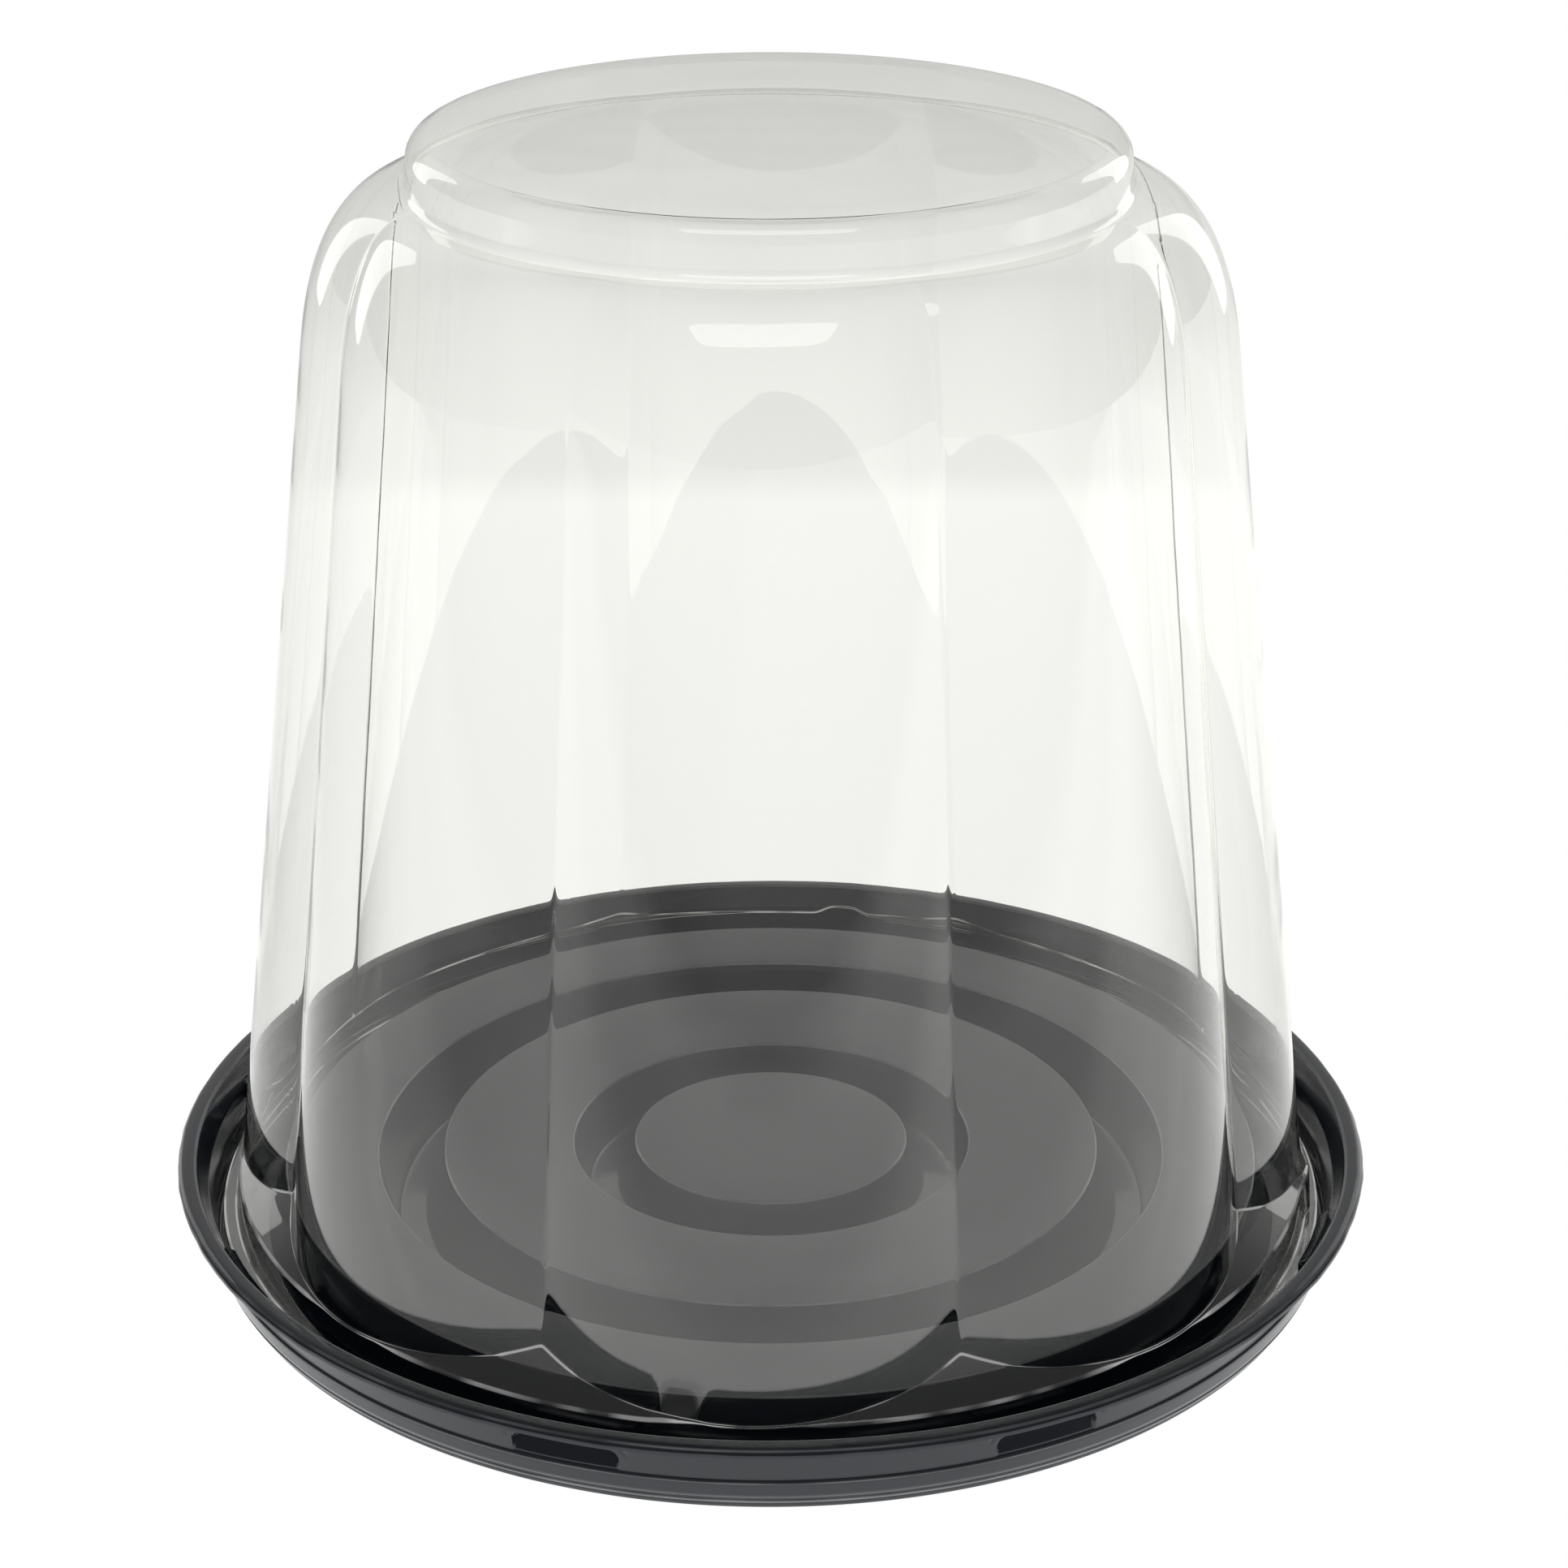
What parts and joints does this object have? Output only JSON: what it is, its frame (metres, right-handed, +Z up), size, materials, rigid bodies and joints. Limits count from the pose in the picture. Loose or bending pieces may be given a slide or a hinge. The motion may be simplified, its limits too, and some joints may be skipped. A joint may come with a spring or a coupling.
{
  "type": "humidity dome tray",
  "caption": "Tall clear lobed dome lid with a round boss on top, standing in the channel of a shallow round black tray with raised ring platforms and a flat lip.",
  "frame": {"origin": "on the table, under the middle of the tray", "axes": "+Z up along the axis that the dome and the tray share; -Y towards the front lobe of the dome"},
  "size_m": [0.27, 0.27, 0.2514],
  "materials": {
    "black_sheet": "glossy black thermoformed sheet",
    "clear_sheet": "clear glossy thermoformed sheet"
  },
  "bodies": {
    "base": {"base_tray": "black_sheet"},
    "lid": {"dome_lid": "clear_sheet"}
  },
  "joints": [
    {"name": "lid_lift", "type": "slide", "parent": "base", "child": "lid", "axis": [0, 0, 1], "range_m": [0, 0.26]}
  ]
}
